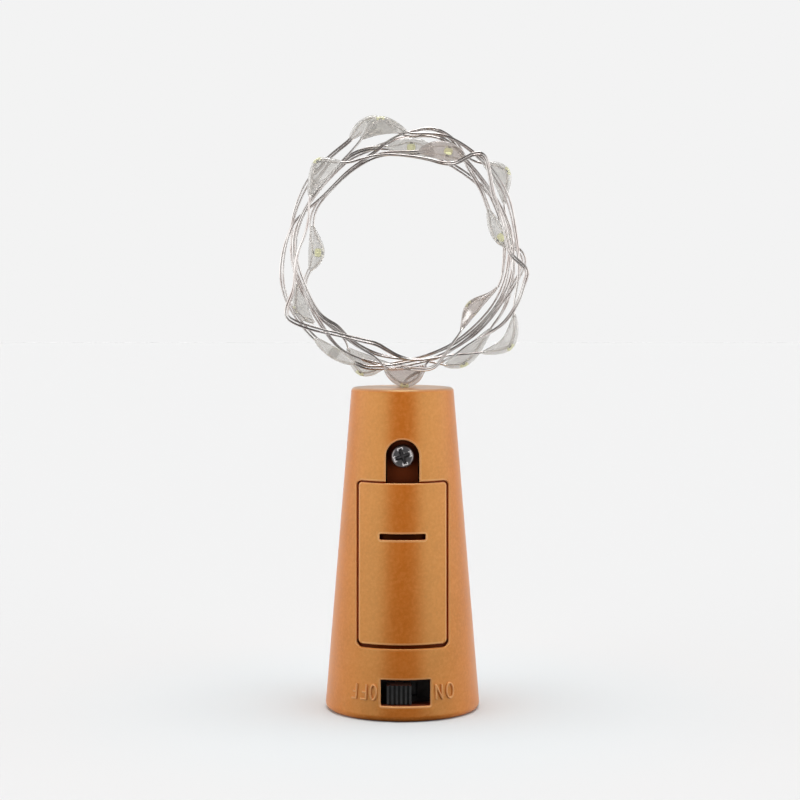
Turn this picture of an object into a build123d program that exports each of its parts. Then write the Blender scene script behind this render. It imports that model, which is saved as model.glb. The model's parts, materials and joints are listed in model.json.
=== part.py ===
from build123d import *
import math
import os

# Bottle light in the shape of a tapered cork, with a string of small lights wound into a ring on its narrow end.
# Millimetres. The origin is the centre of the base, +Z is up, and the front, with the door, faces -Y.

# Cork body, wide end down
base_diameter = 25.2
neck_diameter = 16.5
cork_height = 52.2
shell_wall = 1.6
neck_wall = 2.0
base_edge_round = 0.9
neck_edge_round = 0.6
cap_thickness = 1.4
wire_hole_diameter = 2.0
opening_edge_round = 0.2

# Clearances
fit_gap = 0.04
slide_gap = 0.15
bore_gap = 0.06

# Battery door and the opening that it fills
opening_width = 14.4
opening_height = 26.22
opening_below_middle = 1.51
opening_top_corner = 0.8
opening_bottom_corner = 0.9
door_side_gap = 0.24
door_top_gap = 0.25
door_bottom_gap = 0.57
door_thickness = 1.5
ledge_depth = 0.55
ledge_width = 0.8
slot_width = 7.3
slot_height = 0.95
slot_corner = 0.25
slot_depth = 1.0
slot_edge_round = 0.12
slot_above_middle = 4.42

# Recess for the door screw, above the opening
recess_width = 5.3
recess_height = 6.6
tongue_front = 7.0
tongue_thickness = 1.0
tongue_side_gap = 0.2
tongue_root = 2.2
screw_above_opening = 3.94
head_diameter = 3.7
head_height = 1.35
head_round = 0.45
cross_length = 2.7
cross_width = 0.7
cross_depth = 0.85
cross_taper = 15
cross_turn = 20
thread_diameter = 2.0
thread_root = 1.5
thread_pitch = 0.5
thread_turns = 9

# Button cells, three in a stack
cell_diameter = 11.6
cell_height = 5.4
cell_count = 3
cell_edge_round = 0.5
cell_cap_diameter = 8.8
cell_cap_proud = 0.3
cell_seal_width = 0.3
cell_seal_depth = 0.5
cell_gap = 0.05
cell_axis_y = -2.2
pocket_side_gap = 0.3

# Battery tray inside the cork
tray_wall = 1.3
tray_floor = 2.4
tray_above_opening = 0.8
cells_below_tongue = 1.0
spring_room = 4.35
boss_width = 6.4
boss_depth = 5.4
boss_below_glue = 2.2

# Contacts at the ends of the pocket
contact_size = 7.0
contact_thickness = 0.3
tail_width = 2.0
tail_reach = 1.0
spring_wire = 0.5
spring_base_radius = 4.0
spring_tip_radius = 2.4
spring_turns = 3.5

# Slide switch behind its window
window_width = 7.8
window_height = 4.1
window_corner = 0.15
window_middle_x = 0.45
window_middle_z = 4.56
collar_wall = 0.9
switch_inset = 4.15
switch_cover_thickness = 0.6
switch_cover_width = 10.0
switch_cover_height = 6.0
switch_body_width = 9.0
switch_body_height = 5.2
switch_body_depth = 3.2
switch_floor = 0.8
switch_travel = 2.0
knob_width = 3.9
knob_height = 2.96
knob_inset = 1.15
knob_below_middle = 0.42
knob_ribs = 6
knob_groove_width = 0.36
knob_groove_depth = 0.45
stem_width = 1.4
stem_height = 2.0
carrier_width = 5.4
carrier_height = 3.5
carrier_thickness = 1.0
wiper_thickness = 0.25
wiper_width = 3.6
wiper_height = 2.0
wiper_foot = 0.6
terminal_pitch = 2.5
terminal_width = 0.9
terminal_thickness = 0.4
terminal_reach = 2.4

# Inside wiring
hookup_diameter = 0.9
resistor_diameter = 1.7
resistor_length = 4.2
resistor_lead = 0.5
resistor_lead_length = 1.26
resistor_x = -1.7
feed_wire_run = 6.0
glue_radius = 3.2
glue_height = 2.0
glue_sunk = 0.8

# Light string: two thin wires side by side, drawn as one tube, wound into a ring
string_diameter = 0.6
ring_middle_x = 0.2
ring_above_cork = 22.2
ring_radius = 17.6
ring_wander = 0.8
ring_wander_step = 2.4
ring_front = -3.9
ring_back = 3.6
ring_start_angle = -45.0
ring_start_radius = 18.4
string_tail = 2.0
lead_straight = 6.0
bead_length = 5.0
bead_diameter = 2.3
bead_end_diameter = 0.9
chip_length = 1.6
chip_width = 0.8
chip_thickness = 0.4

# Each light in its order along the string: degrees round the ring from the one before it, and its distance
# from the middle of the ring. The first is counted from the lowest point of the ring.
lights = [
    (224.2, 19.4), (183.1, 22.6), (142.0, 21.4), (171.3, 21.0), (154.7, 17.6),
    (170.5, 19.7), (131.1, 15.9), (174.4, 14.6), (137.8, 14.8), (150.9, 20.9),
    (186.9, 20.3), (148.6, 16.3), (165.3, 20.8), (145.0, 20.9), (173.3, 19.7),
]

base_radius = base_diameter / 2
neck_radius = neck_diameter / 2
cell_radius = cell_diameter / 2
string_radius = string_diameter / 2
neck_underside = cork_height - neck_wall
glue_bottom = neck_underside - glue_height
door_middle_z = cork_height / 2 - opening_below_middle
opening_bottom = door_middle_z - opening_height / 2
opening_top = door_middle_z + opening_height / 2
recess_top = opening_top + recess_height
screw_z = opening_top + screw_above_opening
boss_front = tongue_front - tongue_thickness - fit_gap
boss_top = glue_bottom - boss_below_glue
pocket_radius = cell_radius + pocket_side_gap
tray_radius = pocket_radius + tray_wall
tray_back = cell_axis_y + tray_radius
stack_height = cell_count * (cell_height + cell_gap)
pocket_height = spring_room + stack_height + contact_thickness
pocket_top = opening_top - tongue_root - cells_below_tongue
pocket_bottom = pocket_top - pocket_height
tray_bottom = pocket_bottom - tray_floor
tray_top = opening_top + tray_above_opening
switch_front = base_radius - switch_inset
knob_front = base_radius - knob_inset
ring_middle_z = cork_height + ring_above_cork

os.makedirs("parts", exist_ok=True)


def outer_radius(height):
    """Radius of the cork's outside at a height."""
    return base_radius - (base_radius - neck_radius) * height / cork_height


def cone_section(low, high, inset):
    """Half section of a cone that lies a given distance inside the cork's outside."""
    low_corner = (outer_radius(low) - inset, low)
    high_corner = (outer_radius(high) - inset, high)
    return [(0, low), low_corner, high_corner, (0, high)]


def on_outside(edge):
    """True for an edge that lies on the cork's outer cone."""
    middle = edge @ 0.5
    return abs(math.hypot(middle.X, middle.Y) - outer_radius(middle.Z)) < 0.01


def biarcs(points, tangents):
    """Two tangent arcs between each point and the next, drawn into the line being built."""
    for here, there, leaving, arriving in zip(points, points[1:], tangents, tangents[1:]):
        span = there - here
        both = leaving + arriving
        spread = 2 * (1 - leaving.dot(arriving))
        along = span.dot(both)
        reach = (math.sqrt(along**2 + spread * span.dot(span)) - along) / spread
        first = here + leaving * reach
        second = there - arriving * reach
        meeting = (first + second) / 2
        TangentArc(here, meeting, tangent=leaving)
        TangentArc(meeting, there, tangent=second - first)


def bend_radii(points):
    """Largest radius that each corner of a wire's route has room for."""
    radii = []
    for before, corner, after in zip(points, points[1:], points[2:]):
        coming = Vector(corner) - Vector(before)
        going = Vector(after) - Vector(corner)
        half_turn = math.radians(coming.get_angle(going)) / 2
        radii.append(0.45 * min(coming.length, going.length) / math.tan(half_turn))
    return radii


def least_gap(edges, diameter):
    """Least gap of a wound tube to itself, measured on points along its path."""
    steps = 12
    samples = [tuple(edge @ (step / steps)) for edge in edges for step in range(steps)]
    apart = 2 * steps
    pairs = ((a, b) for i, a in enumerate(samples) for b in samples[i + apart:])
    return min(math.dist(a, b) for a, b in pairs) - diameter


# Door opening: cut down to a ledge that the door's edge lies on, with the way through inside it and the recess above
arch_z = recess_top - recess_width / 2
way_width = opening_width - 2 * ledge_width
way_height = opening_height - 2 * ledge_width
with BuildPart() as door_opening:
    with BuildSketch(Plane.XZ) as opening:
        with Locations((0, door_middle_z)):
            Rectangle(opening_width, opening_height)
        fillet(opening.vertices().group_by(Axis.Y)[0], opening_bottom_corner)
        fillet(opening.vertices().group_by(Axis.Y)[-1], opening_top_corner)
    extrude(amount=base_radius)
    with BuildSketch(Plane.XZ):
        with BuildLine():
            Polyline(*cone_section(0, cork_height, ledge_depth), close=True)
        make_face()
    revolve(axis=Axis.Z, mode=Mode.SUBTRACT)
    with BuildSketch(Plane.XZ):
        with Locations((0, door_middle_z)):
            Rectangle(way_width, way_height)
        with Locations((0, opening_top - ledge_width)):
            Rectangle(recess_width, arch_z - opening_top + ledge_width, align=(Align.CENTER, Align.MIN))
        with Locations((0, arch_z)):
            Circle(recess_width / 2)
    extrude(amount=base_radius)

# Cork shell: the hollow of the cork keeps a collar of wall round the switch window
with BuildPart() as hollow:
    with BuildSketch(Plane.XZ):
        with BuildLine():
            Polyline(*cone_section(0, neck_underside, shell_wall), close=True)
        make_face()
    revolve(axis=Axis.Z)
    with BuildSketch(Plane.XZ.offset(switch_front)):
        with Locations((window_middle_x, window_middle_z)):
            Rectangle(window_width + 2 * collar_wall, window_height + 2 * collar_wall)
    extrude(amount=base_radius, mode=Mode.SUBTRACT)

with BuildPart() as cork_shell:
    with BuildSketch(Plane.XZ):
        with BuildLine():
            Polyline(*cone_section(0, cork_height, 0), close=True)
        make_face()
    revolve(axis=Axis.Z)
    fillet(cork_shell.edges().group_by(Axis.Z)[0], base_edge_round)
    fillet(cork_shell.edges().group_by(Axis.Z)[-1], neck_edge_round)
    add(hollow.part, mode=Mode.SUBTRACT)
    add(door_opening.part, mode=Mode.SUBTRACT)
    fillet(cork_shell.edges(Select.LAST).filter_by(on_outside), opening_edge_round)
    with BuildSketch(Plane.XZ):
        with Locations((window_middle_x, window_middle_z)):
            RectangleRounded(window_width, window_height, window_corner)
    extrude(amount=base_radius, mode=Mode.SUBTRACT)
    fillet(cork_shell.edges(Select.LAST).filter_by(on_outside), opening_edge_round)
    with BuildSketch(Plane.XY.offset(neck_underside)):
        Circle(wire_hole_diameter / 2)
    extrude(amount=neck_wall, mode=Mode.SUBTRACT)
cork_shell.part.label = "cork_shell"
export_step(cork_shell.part, "parts/cork_shell.step")

# Base cap: a tapered disc pressed into the wide end, flush with the rim
with BuildPart() as base_cap:
    with BuildSketch(Plane.XZ):
        with BuildLine():
            Polyline(*cone_section(0, cap_thickness, shell_wall + fit_gap), close=True)
        make_face()
    revolve(axis=Axis.Z)
    chamfer(base_cap.edges().group_by(Axis.Z)[0], opening_edge_round)
base_cap.part.label = "base_cap"
export_step(base_cap.part, "parts/base_cap.step")

# Battery tray: a trough with a front frame behind the door's edge and a boss for the screw
with BuildPart() as battery_tray:
    with BuildSketch(Plane.XY.offset(tray_bottom)):
        with Locations((0, cell_axis_y)):
            Circle(tray_radius)
            Rectangle(2 * tray_radius, base_radius, align=(Align.CENTER, Align.MAX))
    extrude(amount=tray_top - tray_bottom)
    with BuildSketch(Plane.XZ.offset(boss_front)):
        with Locations((0, tray_top)):
            Rectangle(boss_width, boss_top - tray_top, align=(Align.CENTER, Align.MIN))
    extrude(amount=-boss_depth)
    with BuildSketch(Plane.XZ):
        with BuildLine():
            Polyline(*cone_section(tray_bottom, boss_top, shell_wall + fit_gap), close=True)
        make_face()
    revolve(axis=Axis.Z, mode=Mode.INTERSECT)
    with BuildSketch(Plane.XY.offset(pocket_bottom)):
        with Locations((0, cell_axis_y)):
            Circle(pocket_radius)
            Rectangle(2 * pocket_radius, base_radius, align=(Align.CENTER, Align.MAX))
    extrude(amount=pocket_top - pocket_bottom, mode=Mode.SUBTRACT)
    with BuildSketch(Plane.XZ.offset(boss_front)):
        with Locations((0, opening_top - tongue_root - slide_gap)):
            Rectangle(recess_width, tray_top, align=(Align.CENTER, Align.MIN))
    extrude(amount=base_radius, mode=Mode.SUBTRACT)
    with BuildSketch(Plane.XZ.offset(boss_front)):
        with Locations((0, screw_z)):
            Circle(thread_diameter / 2 + bore_gap)
    extrude(amount=-(thread_turns * thread_pitch), mode=Mode.SUBTRACT)
    for tail_bottom in (pocket_bottom, pocket_top - contact_thickness - 2 * fit_gap):
        with BuildSketch(Plane.XY.offset(tail_bottom)):
            with Locations((0, cell_axis_y)):
                Rectangle(tail_width + 2 * fit_gap, base_radius, align=(Align.CENTER, Align.MIN))
        extrude(amount=contact_thickness + 2 * fit_gap, mode=Mode.SUBTRACT)
battery_tray.part.label = "battery_tray"
export_step(battery_tray.part, "parts/battery_tray.step")

# Pry slot of the door, and the rim that is cut thin all round the door's back to lie on the ledge
with BuildPart() as pry_slot:
    with BuildSketch(Plane.XZ):
        with Locations((0, door_middle_z + slot_above_middle)):
            RectangleRounded(slot_width, slot_height, slot_corner)
    extrude(amount=base_radius)
    with BuildSketch(Plane.XZ):
        with BuildLine():
            Polyline(*cone_section(opening_bottom, opening_top, slot_depth), close=True)
        make_face()
    revolve(axis=Axis.Z, mode=Mode.SUBTRACT)

with BuildPart() as door_rim:
    with BuildSketch(Plane.XZ):
        with BuildLine():
            Polyline(*cone_section(opening_bottom, opening_top, ledge_depth - slide_gap), close=True)
        make_face()
    revolve(axis=Axis.Z)
    with BuildSketch(Plane.XZ):
        with Locations((0, door_middle_z)):
            Rectangle(opening_width, opening_height)
            Rectangle(way_width - 2 * door_side_gap, way_height - 2 * door_bottom_gap, mode=Mode.SUBTRACT)
        with Locations((0, opening_top)):
            Rectangle(recess_width - 2 * tongue_side_gap, opening_height, mode=Mode.SUBTRACT)
    extrude(amount=base_radius, mode=Mode.INTERSECT)

# Battery door: a curved panel flush with the cork, with a pry slot and a tongue that the screw holds down
with BuildPart() as battery_door:
    with BuildSketch(Plane.XZ):
        with BuildLine():
            Polyline(*cone_section(opening_bottom, opening_top, 0), close=True)
        make_face()
        with BuildLine():
            Polyline(*cone_section(opening_bottom, opening_top, door_thickness), close=True)
        make_face(mode=Mode.SUBTRACT)
    revolve(axis=Axis.Z)
    door_bottom = opening_bottom + door_bottom_gap
    door_top = opening_top - door_top_gap
    door_width = opening_width - 2 * door_side_gap
    with BuildSketch(Plane.XZ) as panel:
        with Locations((0, door_bottom)):
            Rectangle(door_width, door_top - door_bottom, align=(Align.CENTER, Align.MIN))
        fillet(panel.vertices().group_by(Axis.Y)[0], opening_bottom_corner - door_side_gap)
        fillet(panel.vertices().group_by(Axis.Y)[-1], opening_top_corner - door_side_gap)
    extrude(amount=base_radius, mode=Mode.INTERSECT)
    fillet(battery_door.edges().filter_by(on_outside), opening_edge_round)
    add(door_rim.part, mode=Mode.SUBTRACT)
    add(pry_slot.part, mode=Mode.SUBTRACT)
    fillet(battery_door.edges(Select.LAST).filter_by(on_outside), slot_edge_round)
    tongue_back = tongue_front - tongue_thickness
    tongue_width = recess_width - 2 * tongue_side_gap
    with BuildSketch(Plane.XZ.offset(tongue_back)):
        with Locations((0, opening_top - tongue_root)):
            Rectangle(tongue_width, arch_z - opening_top + tongue_root, align=(Align.CENTER, Align.MIN))
        with Locations((0, arch_z)):
            Circle(tongue_width / 2)
    extrude(amount=tongue_thickness)
    with BuildSketch(Plane.XZ.offset(tongue_back)):
        with Locations((0, opening_top - tongue_root)):
            Rectangle(tongue_width, tongue_root - door_top_gap, align=(Align.CENTER, Align.MIN))
    extrude(amount=outer_radius(opening_top) - door_thickness / 2 - tongue_back)
    with BuildSketch(Plane.XZ.offset(tongue_back)):
        with Locations((0, screw_z)):
            Circle(thread_diameter / 2 + bore_gap)
    extrude(amount=tongue_thickness, mode=Mode.SUBTRACT)
battery_door.part.label = "battery_door"
export_step(battery_door.part, "parts/battery_door.step")

# Door screw: pan head with a cross recess, and a threaded shank drawn as a row of ridges
screw_axis = Axis((0, 0, screw_z), (0, -1, 0))
shank_start = -tongue_front
with BuildPart() as door_screw:
    with BuildSketch(Plane.XY.offset(screw_z)):
        with BuildLine():
            head_top = shank_start - head_height
            ridges = []
            for turn in range(thread_turns):
                crest_y = shank_start + tongue_thickness + turn * thread_pitch
                ridges.append((thread_root / 2, crest_y))
                ridges.append((thread_diameter / 2, crest_y + thread_pitch / 2))
            tip_y = shank_start + tongue_thickness + thread_turns * thread_pitch - fit_gap
            Polyline(
                (0, head_top),
                (head_diameter / 2, head_top),
                (head_diameter / 2, shank_start),
                (thread_root / 2, shank_start),
                *ridges,
                (thread_root / 2, tip_y - thread_pitch / 2),
                (0, tip_y),
                close=True,
            )
        make_face()
    revolve(axis=screw_axis)
    fillet(door_screw.edges().group_by(Axis.Y)[0], head_round)
    with BuildSketch(Plane.XZ.offset(tongue_front + head_height)):
        with Locations((0, screw_z)):
            Rectangle(cross_length, cross_width, rotation=cross_turn)
            Rectangle(cross_width, cross_length, rotation=cross_turn)
    extrude(amount=-cross_depth, taper=cross_taper, mode=Mode.SUBTRACT)
door_screw.part.label = "door_screw"
export_step(door_screw.part, "parts/door_screw.step")

# Button cells: a can, a seal ring and a cap each, with the cap down towards the spring
for number in range(1, cell_count + 1):
    foot = pocket_top - contact_thickness - 2 * fit_gap - stack_height + (number - 1) * (cell_height + cell_gap)
    can_foot = foot + cell_cap_proud
    cap_radius = cell_cap_diameter / 2
    seat_radius = cap_radius + cell_seal_width
    with BuildPart() as button_cell:
        with BuildSketch(Plane.XY.offset(can_foot)):
            with Locations((0, cell_axis_y)):
                Circle(cell_radius)
        extrude(amount=cell_height - cell_cap_proud)
        fillet(button_cell.edges(), cell_edge_round)
        with BuildSketch(Plane.XY.offset(can_foot)):
            with Locations((0, cell_axis_y)):
                Circle(seat_radius)
        extrude(amount=cell_seal_depth, mode=Mode.SUBTRACT)
        with BuildSketch(Plane.XY.offset(can_foot)):
            with Locations((0, cell_axis_y)):
                Circle(seat_radius - fit_gap)
                Circle(cap_radius, mode=Mode.SUBTRACT)
        extrude(amount=cell_seal_depth - fit_gap)
        with BuildSketch(Plane.XY.offset(foot)):
            with Locations((0, cell_axis_y)):
                Circle(cap_radius - fit_gap)
        extrude(amount=cell_cap_proud + cell_seal_depth - fit_gap)
    button_cell.part.label = f"button_cell_{number}"
    export_step(button_cell.part, f"parts/button_cell_{number}.step")

# Contact plates at both ends of the pocket, each with a tail through the tray's back wall
contact_floors = {
    "negative_contact": pocket_bottom + fit_gap,
    "positive_contact": pocket_top - contact_thickness - fit_gap,
}
for contact_name, contact_floor in contact_floors.items():
    with BuildPart() as contact:
        with BuildSketch(Plane.XY.offset(contact_floor)):
            with Locations((0, cell_axis_y)):
                Rectangle(contact_size, contact_size)
                tail_length = tray_back - cell_axis_y + tail_reach
                Rectangle(tail_width, tail_length, align=(Align.CENTER, Align.MIN))
        extrude(amount=contact_thickness)
    contact.part.label = contact_name
    export_step(contact.part, f"parts/{contact_name}.step")

# Contact spring: a cone of wire between the lower plate and the lowest cell
spring_foot = contact_floors["negative_contact"] + contact_thickness + spring_wire / 2 + fit_gap
spring_rise = pocket_bottom + spring_room - spring_wire / 2 - 2 * fit_gap - spring_foot
spring_points = []
spring_tangents = []
quarter_turns = round(4 * spring_turns)
for quarter in range(quarter_turns + 1):
    share = quarter / quarter_turns
    angle = math.radians(90 * quarter)
    radius = spring_base_radius + (spring_tip_radius - spring_base_radius) * share
    sweep_rate = radius * math.radians(360) * spring_turns
    inward = spring_tip_radius - spring_base_radius
    spring_points.append(Vector(
        radius * math.cos(angle),
        cell_axis_y + radius * math.sin(angle),
        spring_foot + spring_rise * share,
    ))
    spring_tangents.append(Vector(
        inward * math.cos(angle) - sweep_rate * math.sin(angle),
        inward * math.sin(angle) + sweep_rate * math.cos(angle),
        spring_rise,
    ).normalized())
with BuildPart() as contact_spring:
    with BuildLine() as spring_path:
        biarcs(spring_points, spring_tangents)
    with BuildSketch(Plane(origin=spring_points[0], z_dir=spring_tangents[0])):
        Circle(spring_wire / 2)
    sweep(path=spring_path.line)
print("contact spring least gap", round(least_gap(spring_path.edges(), spring_wire), 3))
contact_spring.part.label = "contact_spring"
export_step(contact_spring.part, "parts/contact_spring.step")

# Slide switch: cover plate, body, slider with its knob, wiper and three terminals
cover_back = switch_front - fit_gap - switch_cover_thickness
body_back = cover_back - switch_body_depth
cavity_depth = switch_body_depth - switch_floor
slider_x = window_middle_x - switch_travel / 2
slider_room = switch_travel + 2 * slide_gap
with BuildPart() as switch_cover:
    with BuildSketch(Plane.XZ.offset(cover_back)):
        with Locations((window_middle_x, window_middle_z)):
            Rectangle(switch_cover_width, switch_cover_height)
            Rectangle(stem_width + slider_room, stem_height + 2 * slide_gap, mode=Mode.SUBTRACT)
    extrude(amount=switch_cover_thickness)
switch_cover.part.label = "switch_cover"
export_step(switch_cover.part, "parts/switch_cover.step")

terminal_places = [(window_middle_x + step * terminal_pitch, window_middle_z) for step in (-1, 0, 1)]
with BuildPart() as switch_body:
    with BuildSketch(Plane.XZ.offset(body_back)):
        with Locations((window_middle_x, window_middle_z)):
            Rectangle(switch_body_width, switch_body_height)
    extrude(amount=switch_body_depth - fit_gap)
    with BuildSketch(Plane.XZ.offset(cover_back)):
        with Locations((window_middle_x, window_middle_z)):
            Rectangle(carrier_width + slider_room, carrier_height + 2 * slide_gap)
    extrude(amount=-cavity_depth, mode=Mode.SUBTRACT)
    with BuildSketch(Plane.XZ.offset(body_back)):
        with Locations(*terminal_places):
            Rectangle(terminal_width + 2 * fit_gap, terminal_thickness + 2 * fit_gap)
    extrude(amount=switch_floor, mode=Mode.SUBTRACT)
switch_body.part.label = "switch_body"
export_step(switch_body.part, "parts/switch_body.step")

knob_back = switch_front - fit_gap + slide_gap
carrier_front = cover_back - slide_gap
knob_z = window_middle_z - knob_below_middle
with BuildPart() as switch_slider:
    with BuildSketch(Plane.XZ.offset(knob_back)):
        with Locations((slider_x, knob_z)):
            Rectangle(knob_width, knob_height)
    extrude(amount=knob_front - knob_back)
    with BuildSketch(Plane.XZ.offset(carrier_front - carrier_thickness)):
        with Locations((slider_x, window_middle_z)):
            Rectangle(carrier_width, carrier_height)
    extrude(amount=carrier_thickness)
    with BuildSketch(Plane.XZ.offset(carrier_front)):
        with Locations((slider_x, window_middle_z)):
            Rectangle(stem_width, stem_height)
    extrude(amount=knob_back - carrier_front)
    rib_pitch = (knob_width + knob_groove_width) / knob_ribs
    with BuildSketch(Plane.XZ.offset(knob_front)):
        with Locations((slider_x, knob_z)):
            with GridLocations(rib_pitch, 0, knob_ribs - 1, 1):
                Rectangle(knob_groove_width, knob_height)
    extrude(amount=-knob_groove_depth, mode=Mode.SUBTRACT)
switch_slider.part.label = "switch_slider"
export_step(switch_slider.part, "parts/switch_slider.step")

wiper_front = carrier_front - carrier_thickness - fit_gap
terminal_top = cover_back - cavity_depth
foot_length = wiper_front - wiper_thickness - terminal_top - terminal_thickness - slide_gap
with BuildPart() as switch_wiper:
    with BuildSketch(Plane.XZ.offset(wiper_front - wiper_thickness)):
        with Locations((slider_x, window_middle_z)):
            Rectangle(wiper_width, wiper_height)
    extrude(amount=wiper_thickness)
    with BuildSketch(Plane.XZ.offset(wiper_front - wiper_thickness)):
        with Locations((slider_x, window_middle_z)):
            with GridLocations(terminal_pitch, 0, 2, 1):
                Rectangle(wiper_foot, wiper_foot)
    extrude(amount=-foot_length)
switch_wiper.part.label = "switch_wiper"
export_step(switch_wiper.part, "parts/switch_wiper.step")

terminal_end = body_back - terminal_reach
with BuildPart() as switch_terminals:
    with BuildSketch(Plane.XZ.offset(terminal_end)):
        with Locations(*terminal_places):
            Rectangle(terminal_width, terminal_thickness)
    extrude(amount=terminal_top + terminal_thickness - terminal_end)
switch_terminals.part.label = "switch_terminals"
export_step(switch_terminals.part, "parts/switch_terminals.step")

# Glue that holds the light string in the narrow end
with BuildPart() as lead_glue:
    with BuildSketch(Plane.XZ):
        with BuildLine():
            hole_side = wire_hole_diameter / 2 - fit_gap
            glue_top = neck_underside - fit_gap
            glue_face = cork_height - glue_sunk
            Polyline((hole_side, glue_top), (hole_side, glue_face), (0, glue_face), (0, glue_bottom))
            Line((0, glue_bottom), (glue_radius / 2, glue_bottom))
            TangentArc((glue_radius / 2, glue_bottom), (glue_radius, glue_top), tangent=(1, 0))
            Line((glue_radius, glue_top), (hole_side, glue_top))
        make_face()
    revolve(axis=Axis.Z)
lead_glue.part.label = "lead_glue"
export_step(lead_glue.part, "parts/lead_glue.step")

# Series resistor, standing behind the tray, with a short lead at each end
resistor_y = tray_back + resistor_diameter / 2 + slide_gap
resistor_z = tray_top - 2 * resistor_length
with BuildPart() as series_resistor:
    with Locations((resistor_x, resistor_y, resistor_z)):
        Cylinder(resistor_diameter / 2, resistor_length)
        Cylinder(resistor_lead / 2, resistor_length + 2 * resistor_lead_length)
    fillet(series_resistor.edges().filter_by(GeomType.CIRCLE).sort_by(SortBy.RADIUS)[-2:], resistor_lead / 2)
series_resistor.part.label = "series_resistor"
export_step(series_resistor.part, "parts/series_resistor.step")

# Insulated wires between the glue, the resistor, the contacts and the switch
tail_y = tray_back + tail_reach / 2
lead_end = resistor_length / 2 + resistor_lead_length + fit_gap
wire_y = terminal_end - hookup_diameter / 2 - fit_gap
wire_routes = {
    "positive_wire": [
        (0.4, tail_y, pocket_top + fit_gap + hookup_diameter / 2),
        (0.5, tail_y, tray_top + 2.0),
        (0.9, 0.9, glue_bottom - 2.6),
        (0.9, 0.9, glue_bottom - fit_gap),
    ],
    "string_return_wire": [
        (resistor_x, resistor_y, resistor_z + lead_end),
        (resistor_x, resistor_y, tray_top + 2.4),
        (-0.9, 0.9, glue_bottom - 2.4),
        (-0.9, 0.9, glue_bottom - fit_gap),
    ],
    "switch_feed_wire": [
        (resistor_x, resistor_y, resistor_z - lead_end),
        (resistor_x, resistor_y + 0.3, tray_bottom + feed_wire_run),
        (terminal_places[0][0], resistor_y - 0.6, tray_bottom - 2.2),
        (terminal_places[0][0], 1.2, window_middle_z + 0.8),
        (terminal_places[0][0], -wire_y, window_middle_z),
    ],
    "battery_return_wire": [
        (0.6, tail_y, pocket_bottom - fit_gap - hookup_diameter / 2),
        (1.3, tail_y + 0.2, tray_bottom - 1.2),
        (terminal_places[2][0], 3.0, tray_bottom - 4.6),
        (terminal_places[2][0], -wire_y, window_middle_z),
    ],
}
for wire_name, route in wire_routes.items():
    with BuildPart() as hookup_wire:
        with BuildLine() as wire_path:
            FilletPolyline(*route, radius=bend_radii(route))
        with BuildSketch(Plane(origin=route[0], z_dir=wire_path.line % 0)):
            Circle(hookup_diameter / 2)
        sweep(path=wire_path.line)
    hookup_wire.part.label = wire_name
    export_step(hookup_wire.part, f"parts/{wire_name}.step")


def ring_place(turned, radius, layer):
    """Point on the ring, and the way the string runs there, after a number of degrees from its lowest point."""
    angle = math.radians(turned - 90)
    point = Vector(ring_middle_x + radius * math.cos(angle), layer, ring_middle_z + radius * math.sin(angle))
    heading = Vector(-math.sin(angle), 0, math.cos(angle))
    return point, heading


# The string's way round the ring: every light, and one place between it and the light before, in layers
# that go steadily from the front to the back
turned_start = ring_start_angle + 90
turned_end = sum(advance for advance, radius in lights)
layer_rate = (ring_back - ring_front) / (turned_end - turned_start)
string_places = [ring_place(turned_start, ring_start_radius, ring_front)]
light_places = []
turned = 0
last_turned = turned_start
for number, (advance, radius) in enumerate(lights):
    turned = turned + advance
    between = (last_turned + turned) / 2
    between_radius = ring_radius + ring_wander * math.sin(ring_wander_step * number)
    string_places.append(ring_place(between, between_radius, ring_front + layer_rate * (between - turned_start)))
    light_places.append(ring_place(turned, radius, ring_front + layer_rate * (turned - turned_start)))
    string_places.append(light_places[-1])
    last_turned = turned
coil_points = [point for point, heading in string_places]
coil_headings = [heading for point, heading in string_places]
coil_start = coil_points[0] - coil_headings[0] * string_diameter
coil_end = coil_points[-1] + coil_headings[-1] * string_tail

# String coil: the ring of lights, one tube from its first turn to its end
with BuildPart() as string_coil:
    with BuildLine() as coil_path:
        Line(coil_start, coil_points[0])
        biarcs(coil_points, coil_headings)
        Line(coil_points[-1], coil_end)
    with BuildSketch(Plane(origin=coil_start, z_dir=coil_headings[0])):
        Circle(string_radius)
    sweep(path=coil_path.line)
coil_length = sum(edge.length for edge in coil_path.edges())
coil_section = math.pi * string_radius**2
print("string coil length", round(coil_length, 1))
print("string coil volume over section times length", round(string_coil.part.volume / (coil_section * coil_length), 4))
print("string coil least gap", round(least_gap(coil_path.edges(), string_diameter), 3))
string_coil.part.label = "string_coil"
export_step(string_coil.part, "parts/string_coil.step")

# String lead: out of the hole, along the cork's narrow end behind the lowest light, and up into the ring
lead_route = [
    (0, 0, cork_height - glue_sunk),
    (0, 0, cork_height + 0.65),
    (3.0, -0.3, cork_height + 0.55),
    (5.4, -3.7, cork_height + 0.7),
    tuple(coil_start - coil_headings[0] * lead_straight),
    tuple(coil_start),
]
lead_radii = bend_radii(lead_route)
with BuildPart() as string_lead:
    with BuildLine() as lead_path:
        FilletPolyline(*lead_route, radius=lead_radii)
    with BuildSketch(Plane(origin=lead_route[0], z_dir=(0, 0, 1))):
        Circle(string_radius)
    sweep(path=lead_path.line)
lead_length = sum(edge.length for edge in lead_path.edges())
print("string lead length", round(lead_length, 1), "radii", [round(r, 2) for r in lead_radii])
string_lead.part.label = "string_lead"
export_step(string_lead.part, "parts/string_lead.step")

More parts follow.
